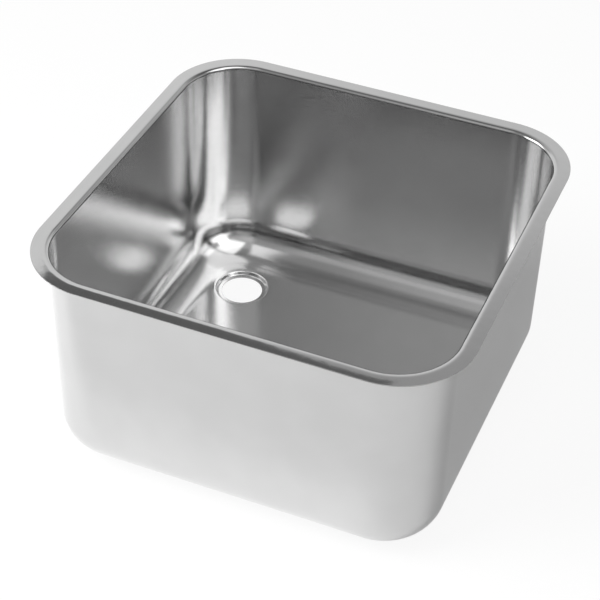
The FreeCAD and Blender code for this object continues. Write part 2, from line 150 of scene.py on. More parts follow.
class Bench:
    """Lays out the nodes of one material or of the world."""

    def __init__(self, tree: bpy.types.NodeTree) -> None:
        """Clears the tree and keeps it."""
        tree.nodes.clear()
        self.tree = tree

    def lay(
        self,
        kind: str,
        settings: Mapping[str, Any] | None = None,
        values: Mapping[str | int, Any] | None = None,
    ) -> bpy.types.Node:
        """Adds a node, sets it up, then fills or links its sockets.

        Args:
            kind: The node's type.
            settings: Its own properties, set first.
            values: A number, a colour or a Value for each socket, by name or place.

        Returns:
            The new node.
        """
        node = self.tree.nodes.new(kind)
        for key, setting in (settings or {}).items():
            setattr(node, key, setting)
        for key, value in (values or {}).items():
            if isinstance(value, Value):
                self.tree.links.new(value.socket, node.inputs[key])
            else:
                node.inputs[key].default_value = value
        return node

    def read(
        self,
        kind: str,
        output: str | int,
        settings: Mapping[str, Any] | None = None,
        values: Mapping[str | int, Any] | None = None,
    ) -> Value:
        """Adds a node as lay does and gives one of its outputs."""
        return Value(self, self.lay(kind, settings, values).outputs[output])

    def axes(self, spot: Value) -> list[Value]:
        """Splits a vector into its X, Y and Z."""
        parts = self.lay("ShaderNodeSeparateXYZ", None, {"Vector": spot})
        return [Value(self, parts.outputs[name]) for name in "XYZ"]

    def ray(self, kind: Ray) -> Value:
        """Gives 1 for a ray of this kind and 0 for any other."""
        return self.read("ShaderNodeLightPath", kind.value)

    def glow(self, tone: float) -> Value:
        """Gives a shader that shines white at this tone."""
        return self.read("ShaderNodeEmission", "Emission", None, {"Color": WHITE, "Strength": tone})

    def blend(self, share: Value, first: Value, second: Value) -> Value:
        """Mixes two shaders, from the first at share 0 to the second at share 1."""
        return self.read("ShaderNodeMixShader", "Shader", None, {0: share, 1: first, 2: second})

    def finish(self, surface: Value) -> None:
        """Makes a shader the material's surface."""
        self.lay("ShaderNodeOutputMaterial", None, {"Surface": surface})

    def mix(self, share: Any, low: Any, high: Any) -> Value:
        """Mixes two colours, from low at share 0 to high at share 1."""
        return self.read(
            "ShaderNodeMix", 2, {"data_type": "RGBA"}, {0: share, 6: low, 7: high}
        )

    def place(
        self, stretch: Sequence[float] = (1.0, 1.0, 1.0), turn: Sequence[float] = (0.0, 0.0, 0.0)
    ) -> Value:
        """Gives the piece's own coordinates in metres, turned and stretched."""
        spot = self.read("ShaderNodeTexCoord", "Object")
        return self.read(
            "ShaderNodeMapping", "Vector", None, {"Vector": spot, "Scale": stretch, "Rotation": turn}
        )

    def noise(self, spot: Value, scale: float, detail: float = 2.0, rough: float = 0.5) -> Value:
        """Gives soft noise between 0 and 1 with so many waves in a metre."""
        return self.read(
            "ShaderNodeTexNoise",
            "Fac",
            None,
            {"Vector": spot, "Scale": scale, "Detail": detail, "Roughness": rough},
        )

    def bump(self, height: Value, depth: float, under: Value | None = None) -> Value:
        """Turns a height into a normal.

        Args:
            height: The height, from 0 to 1.
            depth: How many metres a height of 1 stands for.
            under: An earlier normal that the relief lies on.

        Returns:
            The normal.
        """
        values: dict[str | int, Any] = {"Height": height, "Distance": depth, "Strength": 1.0}
        if under is not None:
            values["Normal"] = under
        return self.read("ShaderNodeBump", "Normal", None, values)


def new_material(name: str) -> tuple[bpy.types.Material, Bench]:
    """Makes a material with an empty node tree.

    Args:
        name: The material's name.

    Returns:
        The material, and a bench on its tree.
    """
    material = bpy.data.materials.new(name)
    material.use_nodes = True
    return material, Bench(material.node_tree)


def new_object(name: str, data: bpy.types.ID) -> bpy.types.Object:
    """Puts a mesh, lamp or camera into the scene.

    Args:
        name: The object's name.
        data: What the object shows.

    Returns:
        The object, at the origin.
    """
    item = bpy.data.objects.new(name, data)
    bpy.context.scene.collection.objects.link(item)
    return item


def shaded(tone: Colour, factor: float) -> tuple[float, ...]:
    """Gives a colour darkened or lightened by a factor, with its alpha."""
    return (*(factor * part for part in tone), 1.0)


def finish_metal(bench: Bench, values: Mapping[str | int, Any]) -> None:
    """Ends a tree in a metal Principled shader with the values given."""
    bench.finish(bench.read("ShaderNodeBsdfPrincipled", "BSDF", None, {"Metallic": 1.0, **values}))


@dataclass(frozen=True)
class SatinSteel:
    """Stainless sheet as drawn and finely polished: grain, level brushing, faint waves, a few marks."""

    name: str = "satin_steel"
    tone: Colour = (0.63, 0.63, 0.63)
    shine: float = 0.14
    grain_depth: float = 4.0e-6
    wave_depth: float = 1.1e-4
    brush_depth: float = 3.0e-5

    def make(self) -> bpy.types.Material:
        """Builds the material.

        Returns:
            Steel whose tone and roughness drift a little, with its relief in three layers.
        """
        material, bench = new_material(self.name)
        spot = bench.place()
        grain = bench.noise(spot, 1400.0, 3.0, 0.6)
        waves = bench.noise(spot, 9.0, 1.0)
        brush = bench.noise(bench.place((90.0, 90.0, 3600.0)), 1.0, 1.0)
        clouds = bench.noise(spot, 22.0, 3.0)
        hairs = bench.noise(bench.place((60.0, 2600.0, 60.0), (0.0, 0.0, 0.5)), 1.0, 2.0)
        crossed = bench.noise(bench.place((2600.0, 60.0, 60.0), (0.0, 0.0, -0.3)), 1.0, 2.0)
        marks = hairs.eased(0.62, 0.75) + crossed.eased(0.62, 0.75)
        tone = bench.mix(clouds.eased(0.3, 0.7), shaded(self.tone, 0.98), shaded(self.tone, 1.01))
        rough = self.shine + 0.03 * (clouds - 0.5) + 0.05 * (grain - 0.5) + 0.015 * marks
        normal = bench.bump(waves, self.wave_depth)
        normal = bench.bump(brush, self.brush_depth, normal)
        normal = bench.bump(grain + 0.35 * marks, self.grain_depth, normal)
        finish_metal(bench, {"Base Color": tone, "Roughness": rough, "Normal": normal})
        return material


@dataclass(frozen=True)
class CutSteelPaintedShade:
    """Cut edges: dull, with a cutting tool's fine steps, and toned dark as painted shade along the edge."""

    name: str = "cut_steel_painted_shade"
    # the dark tone is painted shade: it stands in for the thin dark line of shade along the sheet's edge
    tone: Colour = (0.36, 0.36, 0.355)
    shine: float = 0.3

    def make(self) -> bpy.types.Material:
        """Builds the material.

        Returns:
            Steel toned dark as painted shade, with faint upright steps.
        """
        material, bench = new_material(self.name)
        steps = bench.noise(bench.place((900.0, 900.0, 120.0)), 1.0, 2.0)
        tone = bench.mix(steps, shaded(self.tone, 0.9), shaded(self.tone, 1.0))
        rough = self.shine + 0.15 * (steps - 0.5)
        finish_metal(bench, {"Base Color": tone, "Roughness": rough, "Normal": bench.bump(steps, 4e-6)})
        return material


@dataclass(frozen=True)
class TurnedBrass:
    """Brass with the fine rings of a lathe, a little dulled.

    A pitch above 0 adds a thread's ridges along Y, from start on, in metres.
    """

    name: str = "turned_brass"
    tone: Colour = (0.74, 0.55, 0.24)
    shine: float = 0.24
    pitch: float = 0.0
    start: float = 0.2294

    def make(self) -> bpy.types.Material:
        """Builds the material.

        Returns:
            Brass whose rings run round the screw's axis, which lies along Y.
        """
        material, bench = new_material(self.name)
        spot = bench.place()
        rings = bench.noise(bench.place((400.0, 9000.0, 400.0)), 1.0, 1.0)
        dulled = bench.noise(spot, 700.0, 3.0)
        tone = bench.mix(dulled.eased(0.35, 0.7), shaded(self.tone, 1.0), shaded(self.tone, 0.72))
        rough = self.shine + 0.25 * dulled.eased(0.4, 0.75)
        normal = bench.bump(rings, 3e-6)
        if self.pitch > 0.0:
            along = bench.axes(spot)[1]
            ridge = along.bounced(0.5 * self.pitch) / (0.5 * self.pitch)
            cut = along.eased(self.start, self.start + 0.2 * self.pitch)
            normal = bench.bump(ridge * cut, 0.5 * self.pitch, normal)
        finish_metal(bench, {"Base Color": tone, "Roughness": rough, "Normal": normal})
        return material


@dataclass(frozen=True)
class DampingRubber:
    """Matt dark damping sheet with a pebbled face and pale dust in its hollows."""

    name: str = "damping_rubber"
    tone: Colour = (0.045, 0.046, 0.05)

    def make(self) -> bpy.types.Material:
        """Builds the material.

        Returns:
            Dark rubber with pebbles about 2 mm across.
        """
        material, bench = new_material(self.name)
        spot = bench.place()
        cells = bench.read(
            "ShaderNodeTexVoronoi", "Distance", {"feature": "SMOOTH_F1"}, {"Vector": spot, "Scale": 480.0}
        )
        dust = bench.noise(spot, 60.0, 4.0)
        dusty = dust.eased(0.45, 0.8) * cells.eased(0.2, 0.8)
        tone = bench.mix(dusty, shaded(self.tone, 1.0), shaded(self.tone, 2.4))
        values = {"Base Color": tone, "Roughness": 0.72 + 0.18 * dust, "Normal": bench.bump(cells, 2.5e-4)}
        bench.finish(bench.read("ShaderNodeBsdfPrincipled", "BSDF", None, values))
        return material


@dataclass
class Draft:
    """Gathers the rings and faces of one closed mesh, with a normal at each point."""

    points: list[Array] = field(default_factory=list)
    normals: list[Array] = field(default_factory=list)
    faces: list[list[int]] = field(default_factory=list)
    finishes: list[Slot] = field(default_factory=list)
    count: int = 0

    def add(self, points: Array, normals: Array) -> Array:
        """Adds rings of points.

        Args:
            points: Rows of rings, as (rows, columns, 3).
            normals: The unit normals, in the same shape.

        Returns:
            The points' numbers, as (rows, columns).
        """
        numbers = self.count + np.arange(points.shape[0] * points.shape[1])
        self.points.append(points.reshape(-1, 3))
        self.normals.append(normals.reshape(-1, 3))
        self.count += numbers.size
        return numbers.reshape(points.shape[:2])

    def bridge(self, rings: Array, finish: Slot = Slot.WALL) -> None:
        """Joins each ring to the next with four-sided faces.

        Args:
            rings: Point numbers, as (rows, columns), each row closed on itself.
            finish: The material slot of the new faces.
        """
        here, after = rings[:-1], rings[1:]
        quads = np.stack((here, np.roll(here, -1, 1), np.roll(after, -1, 1), after), axis=-1)
        self._keep(quads.reshape(-1, 4), finish)

    def zip(self, outer: Array, inner: Array, hub: Sequence[float], over: bool) -> None:
        """Joins a ring to a smaller one inside it that has another number of points.

        The points of both are sorted by their angle about the hub. Each edge of one ring
        makes a triangle with the last point of the other ring before the edge's end.

        Args:
            outer: Point numbers of the outer ring, anticlockwise from above.
            inner: Point numbers of the inner ring, anticlockwise from above.
            hub: The X and Y that the angles are measured about.
            over: True for a patch that is seen from above.
        """
        spots = np.concatenate(self.points)

        def sort(ring: Array) -> tuple[Array, Array]:
            """Puts a ring's points in order about the hub.

            Args:
                ring: The point numbers.

            Returns:
                Their angles about the hub and their numbers, both by angle.
            """
            away = spots[ring, :2] - np.asarray(hub)
            angle = np.mod(np.arctan2(away[:, 1], away[:, 0]), 2.0 * math.pi)
            order = np.argsort(angle)
            return angle[order], ring[order]

        (wide, outside), (near, inside) = sort(outer), sort(inner)
        wide_end, near_end = np.roll(wide, -1), np.roll(near, -1)
        across = inside[np.searchsorted(near, wide_end, side="right") - 1]
        back = outside[np.searchsorted(wide, near_end, side="left") - 1]
        fans = np.stack((outside, np.roll(outside, -1), across), axis=-1)
        caps = np.stack((np.roll(inside, -1), inside, back), axis=-1)
        both = np.concatenate((fans, caps))
        self._keep(both if over else both[:, ::-1], Slot.WALL)

    def _keep(self, faces: Array, finish: Slot) -> None:
        """Keeps faces and the material slot that they take."""
        self.faces += faces.tolist()
        self.finishes += [finish] * len(faces)

    def build(self, name: str, materials: Sequence[bpy.types.Material]) -> bpy.types.Object:
        """Makes the object, in metres, with the normals kept.

        Args:
            name: The object's name.
            materials: Its material slots in order.

        Returns:
            The object, at the origin.
        """
        mesh = bpy.data.meshes.new(name)
        mesh.from_pydata((np.concatenate(self.points) * MM).tolist(), [], self.faces)
        mesh.polygons.foreach_set("use_smooth", np.ones(len(self.faces), dtype=bool))
        mesh.polygons.foreach_set("material_index", np.array(self.finishes, dtype=np.int32))
        for material in materials:
            mesh.materials.append(material)
        normals = np.concatenate(self.normals)
        normals /= np.linalg.norm(normals, axis=1, keepdims=True)
        mesh.normals_split_custom_set_from_vertices(normals.tolist())
        mesh.validate(clean_customdata=False)
        return new_object(name, mesh)


def stack(across: Array, level: Array) -> Array:
    """Joins X and Y, as (rows, columns, 2), and Z, as (rows, columns), into points."""
    return np.concatenate((across, np.broadcast_to(level, across.shape[:2])[..., None]), axis=-1)


def between(first: Array, last: Array, count: int) -> Array:
    """Gives so many evenly spaced rows between two rows of points, without those two."""
    share = np.linspace(0.0, 1.0, count + 2)[1:-1, None, None]
    return (1.0 - share) * first + share * last


@dataclass(frozen=True)
class Fan:
    """Upright planes side by side: where each one starts in plan, and its unit way out."""

    start: Array
    out: Array

    def sweep(self, away: Array, level: Array, outward: Array, up: Array) -> Rows:
        """Places one curve in each plane.

        A point is start + away * out in plan, and level in height. A normal is
        outward * out in plan, and up in height.

        Args:
            away: How far out each point lies, as (rows, planes).
            level: Its height.
            outward: The outward part of its normal.
            up: The upward part of its normal.

        Returns:
            The points and normals, as (rows, planes, 3).
        """
        across = self.start + away[..., None] * self.out
        return stack(across, level), stack(outward[..., None] * self.out, up)


@dataclass
class Bowl:
    """The drawn bowl as a closed sheet: flange, top bend, walls, cove, base and waste recess.

    Sizes are in millimetres, with Z 0 at the flange's top. Droop and soft only turn normals:
    droop lets the flange's edge fall away, and soft leads gently into the bend and into the
    recess. The apron is a ring of the base, round the recess, that keeps the base's normal.
    """

    half: float = 240.0
    edge_radius: float = 84.0
    flange_width: float = 14.5
    bend_radius: float = 4.0
    wall_radius: float = 68.0
    lean: float = math.radians(0.3)
    sheet: float = 1.0
    depth: float = 262.5
    cove_radius: float = 42.5
    fall: float = math.radians(0.6)
    recess_radius: float = 33.6
    recess_depth: float = 4.5
    waste_margin: tuple[float, float] = (2.5, 8.0)
    cone_angle: float = math.radians(60.0)
    rim_radius: float = 2.0
    seat_radius: float = 1.5
    hole_radius: float = 25.0
    cut_radius: float = 0.15
    droop: float = math.radians(1.5)
    soft: float = math.radians(6.0)
    soft_start: float = 0.7
    apron: float = 3.0
    side_steps: int = 14
    corner_steps: int = 40
    ring_steps: int = 120
    cut_rows: int = 4
    deck_rows: int = 9
    bend_rows: int = 15
    wall_rows: int = 10
    cove_rows: int = 27
    rim_rows: int = 11
    cone_rows: int = 3
    heel_rows: int = 9

    @property
    def mouth(self) -> float:
        """The half width between the walls, at the flange's top."""
        return self.half - self.flange_width - self.bend_radius

    @property
    def flat_half(self) -> float:
        """The half width of the base, inside the cove."""
        return self.mouth - self.depth * math.tan(self.lean) - self.cove_radius

    @property
    def slope(self) -> Array:
        """The base's rise along X and along Y: it falls to the back left."""
        return math.tan(self.fall / math.sqrt(2.0)) * np.array((1.0, -1.0))

    @property
    def waste(self) -> Array:
        """The X and Y of the waste's axis, in the back left corner."""
        return (self.flat_half - self.recess_radius - np.array(self.waste_margin)) * (-1.0, 1.0)

    @property
    def seat_level(self) -> float:
        """The level of the recess's seat."""
        return float(self.base_level(self.waste, Skin.TOP)) - self.recess_depth

    @property
    def rise(self) -> float:
        """The flange's height over the recess's underside, which is the lowest point."""
        return self.sheet - self.seat_level

    def base_level(self, spots: Array, skin: Skin) -> Array:
        """Gives the level of a skin's sloping base plane at X and Y spots."""
        tilt = math.sqrt(1.0 + float(self.slope @ self.slope))
        return -self.depth - skin.below * self.sheet * tilt + spots @ self.slope

    def grades(self, out: Array) -> tuple[Array, Array, Array]:
        """Gives the base's slope along each plane and across it, and each way across."""
        cross = np.stack((-out[:, 1], out[:, 0]), axis=-1)
        return out @ self.slope, cross @ self.slope, cross

    def columns(self) -> tuple[Array, Array]:
        """Lays out the columns round the plan, anticlockwise from the right-hand side.

        Each side runs from share -1 to 1 and each corner turns through a quarter. A point of
        any rounded square is then centre * share + radius * normal.

        Returns:
            The shares and the outward unit normals, each as (columns, 2).
        """
        quarter = np.arange(4)[:, None] * QUARTER
        run = np.linspace(-1.0, 1.0, self.side_steps, endpoint=False)[None, :]
        turn = np.linspace(0.0, QUARTER, self.corner_steps, endpoint=False)[None, :]
        out = np.stack((np.cos(quarter), np.sin(quarter)), axis=-1)
        along = np.stack((-np.sin(quarter), np.cos(quarter)), axis=-1)
        side = out + run[..., None] * along
        corner = np.broadcast_to(out + along, (4, self.corner_steps, 2))
        angle = np.concatenate((quarter + 0.0 * run, quarter + turn), axis=1)
        shares = np.concatenate((side, corner), axis=1).reshape(-1, 2)
        normals = np.stack((np.cos(angle), np.sin(angle)), axis=-1).reshape(-1, 2)
        return shares, normals

    def pressing(self, skin: Skin) -> Rows:
        """Works out one skin from the flange's edge to the cove's foot.

        Each stretch is a profile in the planes that stand square to the mouth's outline.

        Args:
            skin: Which face of the sheet.

        Returns:
            The points and normals, as (rows, columns, 3).
        """
        gauge = skin.below * self.sheet
        shares, out = self.columns()
        fan = Fan((self.mouth - self.wall_radius) * shares + (self.wall_radius + gauge) * out, out)
        flange = Fan((self.half - self.edge_radius) * shares, out)
        rim = self.cut_edge(skin, flange, self.edge_radius - self.cut_radius, -gauge, 0.0)
        bend, cove = self.bend(skin, fan), self.cove(skin, fan)
        deck = self.deck(rim[0][-1], bend[0][0], out)
        wall = between(bend[0][-1], cove[0][0], self.wall_rows)
        points = (rim[0], deck[0], bend[0], wall, cove[0])
        facing = (rim[1], deck[1], bend[1], np.broadcast_to(bend[1][-1], wall.shape), cove[1])
        return np.concatenate(points), np.concatenate(facing)

    def cut_edge(self, skin: Skin, fan: Fan, centre: float, face: float, start: float) -> Rows:
        """Rounds one side of a cut edge with a quarter of a small arc.

        A point is centre + r cos(t) out and face - side * r (1 - sin(t)) up, where r is the
        arc's radius and t goes on for a quarter from its start.

        Args:
            skin: Which face of the sheet.
            fan: The planes.
            centre: How far out the arc's centre lies.
            face: The level of the face that the arc touches.
            start: The angle t of the first row.

        Returns:
            The points and normals, as (rows, planes, 3).
        """
        turn = np.linspace(start, start + QUARTER, self.cut_rows)[:, None] * np.ones(len(fan.out))
        return fan.sweep(
            centre + self.cut_radius * np.cos(turn),
            face - skin.value * self.cut_radius * (1.0 - np.sin(turn)),
            skin.value * np.cos(turn),
            np.sin(turn),
        )

    def deck(self, first: Array, last: Array, out: Array) -> Rows:
        """Works out the flange's flat, between its rounded edge and the bend.

        With s for the share of the way in, the normals tip out by droop * (1 - s) and in by
        soft * e^2, where e goes from 0 at soft_start to 1 at the bend.

        Args:
            first: The rounded edge's last row.
            last: The bend's first row.
            out: The unit way out of each plane.

        Returns:
            The points and normals, as (rows, planes, 3).
        """
        share = np.linspace(0.0, 1.0, self.deck_rows + 2)[1:-1, None]
        eased = np.clip((share - self.soft_start) / (1.0 - self.soft_start), 0.0, 1.0) ** 2
        tip = (self.droop * (1.0 - share) - self.soft * eased) * np.ones(len(out))
        return between(first, last, self.deck_rows), stack(np.sin(tip)[..., None] * out, np.cos(tip))

    def bend(self, skin: Skin, fan: Fan) -> Rows:
        """Works out the bend: an arc about a centre outside the wall, down to the wall's lean.

        Args:
            skin: Which face of the sheet.
            fan: The planes, which start at the mouth's outline.

        Returns:
            The points and normals, as (rows, planes, 3).
        """
        radius = self.bend_radius - skin.below * self.sheet
        centre = radius / math.cos(self.lean) - self.bend_radius * math.tan(self.lean)
        ones = np.ones(len(fan.out))
        swing = np.linspace(QUARTER, self.lean, self.bend_rows)[:, None] * ones
        tilt = np.linspace(QUARTER - self.soft, self.lean, self.bend_rows)[:, None] * ones
        away, level = centre - radius * np.cos(swing), radius * np.sin(swing) - self.bend_radius
        return fan.sweep(away, level, -np.cos(tilt), np.sin(tilt))

    def cove(self, skin: Skin, fan: Fan) -> Rows:
        """Works out the cove: an arc that touches the leaning wall and the sloping base.

        The base's slope differs from plane to plane, so the arc's centre and end do too.

        Args:
            skin: Which face of the sheet.
            fan: The planes, which start at the mouth's outline.

        Returns:
            The points and normals, as (rows, planes, 3).
        """
        slope, drift, cross = self.grades(fan.out)
        tan, stretch = math.tan(self.lean), np.sqrt(1.0 + slope**2)
        radius = self.cove_radius + skin.below * self.sheet
        base = self.base_level(fan.start, skin)
        inset = radius / math.cos(self.lean) - tan * (base + radius * stretch)
        inset = inset / (1.0 - slope * tan)
        middle = base - slope * inset + radius * stretch
        share = np.linspace(0.0, 1.0, self.cove_rows)[:, None]
        last = 2.0 * math.pi + np.arctan2(-1.0, -slope)
        swing = (1.0 - share) * (math.pi + self.lean) + share * last
        away, level = -inset - radius * np.cos(swing), middle + radius * np.sin(swing)
        points, facing = fan.sweep(away, level, np.cos(swing), -np.sin(swing))
        facing[..., :2] += (drift * np.sin(swing))[..., None] * cross
        return points, facing

    def well(self, skin: Skin) -> Rows:
        """Works out one skin of the waste recess, from the apron to the hole.

        Args:
            skin: Which face of the sheet.

        Returns:
            The points and normals, as (rows, columns, 3).
        """
        gauge = skin.below * self.sheet
        angle = np.arange(self.ring_steps) * (2.0 * math.pi / self.ring_steps)
        fan = Fan(self.waste, np.stack((np.cos(angle), np.sin(angle)), axis=-1))
        seat, cone = self.seat_level - gauge, self.cone_angle
        foot = self.recess_radius - self.rim_radius / math.sin(cone)
        foot -= (self.recess_depth - self.rim_radius) / math.tan(cone)
        foot += gauge * math.tan(QUARTER - cone)
        rim, heel = self.well_rim(skin, fan, foot, seat), self.well_heel(skin, fan, foot, seat)
        wall = between(rim[0][-1], heel[0][0], self.cone_rows)
        lip = self.cut_edge(skin, fan, self.hole_radius + self.cut_radius, seat, QUARTER)
        facing = (rim[1], np.broadcast_to(heel[1][0], wall.shape), heel[1], lip[1])
        return np.concatenate((rim[0], wall, heel[0], lip[0])), np.concatenate(facing)

    def well_rim(self, skin: Skin, fan: Fan, foot: float, seat: float) -> Rows:
        """Works out the apron and the rim: an arc that touches the base and the cone.

        The first normals lean half as far as the soft shoulder does, back to the apron.

        Args:
            skin: Which face of the sheet.
            fan: The planes through the waste's axis.
            foot: The radius at which the cone meets the seat.
            seat: The seat's level.

        Returns:
            The points and normals, as (rows, planes, 3).
        """
        slope, drift, cross = self.grades(fan.out)
        cot, stretch = 1.0 / math.tan(self.cone_angle), np.sqrt(1.0 + slope**2)
        radius = self.rim_radius - skin.below * self.sheet
        hub = self.base_level(self.waste, skin)
        centre = foot + (hub - radius * stretch - seat) * cot + radius / math.sin(self.cone_angle)
        centre = centre / (1.0 - slope * cot)
        middle = hub + slope * centre - radius * stretch
        share = np.linspace(0.0, 1.0, self.rim_rows)[:, None]
        swing = (1.0 - share) * np.arctan2(1.0, -slope) + share * (QUARTER + self.cone_angle)
        away, level = centre + radius * np.cos(swing), middle + radius * np.sin(swing)
        points, facing = fan.sweep(away, level, np.cos(swing), np.sin(swing))
        facing[..., :2] -= ((1.0 - share) * drift)[..., None] * cross
        facing[0, :, :2] -= 0.5 * math.sin(self.soft) * fan.out
        skirt = (centre + self.apron)[None]
        apron, level_face = fan.sweep(skirt, hub + slope * skirt, -slope[None], np.ones(skirt.shape))
        level_face[..., :2] -= drift[..., None] * cross
        return np.concatenate((apron, points)), np.concatenate((level_face, facing))

    def well_heel(self, skin: Skin, fan: Fan, foot: float, seat: float) -> Rows:
        """Works out the turn from the cone to the level seat, as an arc that touches both.

        Args:
            skin: Which face of the sheet.
            fan: The planes through the waste's axis.
            foot: The radius at which the cone meets the seat.
            seat: The seat's level.

        Returns:
            The points and normals, as (rows, planes, 3).
        """
        radius = self.seat_radius + skin.below * self.sheet
        centre = foot + radius / math.tan(self.cone_angle) - radius / math.sin(self.cone_angle)
        swing = np.linspace(self.cone_angle - QUARTER, -QUARTER, self.heel_rows)[:, None]
        swing = swing * np.ones(len(fan.out))
        away, level = centre + radius * np.cos(swing), seat + radius + radius * np.sin(swing)
        return fan.sweep(away, level, -np.cos(swing), -np.sin(swing))

    def build(
        self, steel: bpy.types.Material, edge: bpy.types.Material, deck: bpy.types.Material
    ) -> bpy.types.Object:
        """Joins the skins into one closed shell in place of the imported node.

        Args:
            steel: The sheet's finish.
            edge: The finish of the sheet's cut edges.
            deck: The finish of the flange's top.

        Returns:
            The bowl.
        """
        draft = Draft()
        lift = np.array((0.0, 0.0, self.rise))
        bend_row = self.cut_rows + self.deck_rows
        rings: dict[Skin, tuple[Array, Array]] = {}
        for skin in Skin:
            parts = self.pressing(skin), self.well(skin)
            top = skin is Skin.TOP
            outer, inner = (draft.add(points + lift, skin.value * facing) for points, facing in parts)
            if top:
                draft.bridge(outer[: self.cut_rows])
                draft.bridge(outer[self.cut_rows - 1 : bend_row + 1], Slot.DECK)
                draft.bridge(outer[bend_row:])
                draft.bridge(inner)
            else:
                draft.bridge(outer[::-1])
                draft.bridge(inner[::-1])
            draft.zip(outer[-1], inner[0], self.waste, top)
            rings[skin] = outer, inner
        (rim, hole), (rim_under, hole_under) = rings[Skin.TOP], rings[Skin.UNDER]
        draft.bridge(np.stack((rim_under[0], rim[0])), Slot.CUT)
        draft.bridge(np.stack((hole[-1], hole_under[-1])), Slot.CUT)
        piece = draft.build("drawn_bowl", (steel, edge, deck))
        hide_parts("bowl")
        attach(piece, "root")
        return piece


@dataclass
class DampingPad:
    """The damping sheet under the base, cut away round the waste.

    Sizes are in millimetres. The sheet's upper face lies on the base's sloping underside.
    Two inner rings on its lower face keep that face's shading flat.
    """

    margin: float = 12.0
    corner: float = 12.0
    clearance: float = 16.0
    thickness: float = 2.5
    roll: float = 1.0
    bevel: float = 0.25
    inner_rings: tuple[float, float] = (2.5, 6.0)
    arc_steps: int = 10

    def outline(self, bowl: Bowl) -> Array:
        """Walks round the sheet's edge, anticlockwise from above.

        Each square corner with arms u, coming, and v, going, and radius r becomes the arc
        corner - r u + r v - r v cos(t) + r u sin(t), with t from 0 to a quarter turn. The
        same sum rounds the notch, whose arc is centred on the waste.

        Args:
            bowl: The bowl, for its base and for where its waste is.

        Returns:
            The points, as (points, 2).
        """
        half, notch = bowl.flat_half - self.margin, bowl.recess_radius + self.clearance
        notch_x, notch_y = bowl.waste[0] + notch, bowl.waste[1] - notch
        corners = np.array(
            (
                (half, -half),
                (half, half),
                (notch_x, half),
                (notch_x, notch_y),
                (-half, notch_y),
                (-half, -half),
            )
        )
        radius = np.array((self.corner,) * 3 + (notch,) + (self.corner,) * 2)[:, None, None]
        coming = corners - np.roll(corners, 1, 0)
        coming /= np.linalg.norm(coming, axis=1, keepdims=True)
        going = np.roll(coming, -1, 0)
        turn = np.linspace(0.0, QUARTER, self.arc_steps)[None, :, None]
        coming, going = coming[:, None], going[:, None]
        arcs = corners[:, None] + radius * (going * (1.0 - np.cos(turn)) - coming * (1.0 - np.sin(turn)))
        return arcs.reshape(-1, 2)

    def build(self, bowl: Bowl, rubber: bpy.types.Material) -> bpy.types.Object:
        """Makes the sheet with rolled lower edges.

        Each ring is the outline moved in and down: a bevel, the side, the roll, then flat.

        Args:
            bowl: The bowl that it is stuck to.
            rubber: Its finish.

        Returns:
            The pad.
        """
        line = self.outline(bowl)
        along = np.roll(line, -1, 0) - np.roll(line, 1, 0)
        along /= np.linalg.norm(along, axis=1, keepdims=True)
        out = np.stack((along[:, 1], -along[:, 0]), axis=-1)
        turn = np.linspace(0.0, QUARTER, 5)
        inset = np.concatenate(((self.bevel, 0.0), self.roll * (1.0 - np.cos(turn)), self.inner_rings))
        rolled = self.thickness - self.roll + self.roll * np.sin(turn)
        drop = np.concatenate(((0.0, self.bevel), rolled, (self.thickness, self.thickness)))
        across = line - inset[:, None, None] * out
        level = bowl.rise + bowl.base_level(line, Skin.UNDER) - drop[:, None]
        mesh = bpy.data.meshes.new("damping_sheet")
        numbers = np.arange(level.size).reshape(level.shape)
        here, after = numbers[:-1], numbers[1:]
        quads = np.stack((here, after, np.roll(after, -1, 1), np.roll(here, -1, 1)), axis=-1).reshape(-1, 4)
        faces = quads.tolist() + [numbers[0].tolist(), numbers[-1, ::-1].tolist()]
        mesh.from_pydata((stack(across, level).reshape(-1, 3) * MM).tolist(), [], faces)
        mesh.polygons.foreach_set("use_smooth", np.array([True] * len(quads) + [False] * 2))
        mesh.materials.append(rubber)
        mesh.validate()
        piece = new_object("damping_sheet", mesh)
        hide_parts("sound_pad")
        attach(piece, "root")
        return piece


@dataclass
class EarthBond:
    """The tag, screw, washers and nut for the earth wire, at the back under the flange."""

    steel_nodes: tuple[str, ...] = ("earth_tag",)
    threaded_nodes: tuple[str, ...] = ("earth_screw",)
    brass_nodes: tuple[str, ...] = ("earth_washers", "earth_nut")
    pitch: float = 0.7

    def dress(self, steel: bpy.types.Material) -> list[str]:
        """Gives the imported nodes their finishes.

        Args:
            steel: The tag's finish.

        Returns:
            The names of the nodes dressed.
        """
        brass, threaded = TurnedBrass().make(), TurnedBrass("threaded_brass", pitch=self.pitch * MM).make()
        pairs = ((self.steel_nodes, steel), (self.threaded_nodes, threaded), (self.brass_nodes, brass))
        for names, finish in pairs:
            for name in names:
                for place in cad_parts[name].material_slots:
                    place.material = finish
        return [*self.steel_nodes, *self.threaded_nodes, *self.brass_nodes]


@dataclass(frozen=True)
class Panel:
    """A lamp beside the set: its centre, its two half arms and the tone that a mirror shows."""

    name: str
    centre: tuple[float, float, float]
    across: tuple[float, float, float]
    up: tuple[float, float, float]
    tone: float

    def make(self) -> bpy.types.Object:
        """Makes the lamp, which shines along across x up, turned back.

        Its power in watts is pi times its area times its tone.

        Returns:
            The lamp.
        """
        across, up = Vector(self.across), Vector(self.up)
        data = bpy.data.lights.new(self.name, "AREA")
        data.shape = "RECTANGLE"
        data.size, data.size_y = 2.0 * across.length, 2.0 * up.length
        data.energy = math.pi * data.size * data.size_y * self.tone
        lamp = new_object(self.name, data)
        facing = across.cross(up).normalized()
        turn = Matrix((across.normalized(), up.normalized(), facing)).transposed().to_4x4()
        lamp.matrix_world = Matrix.Translation(Vector(self.centre)) @ turn
        lamp.visible_camera = False
        return lamp


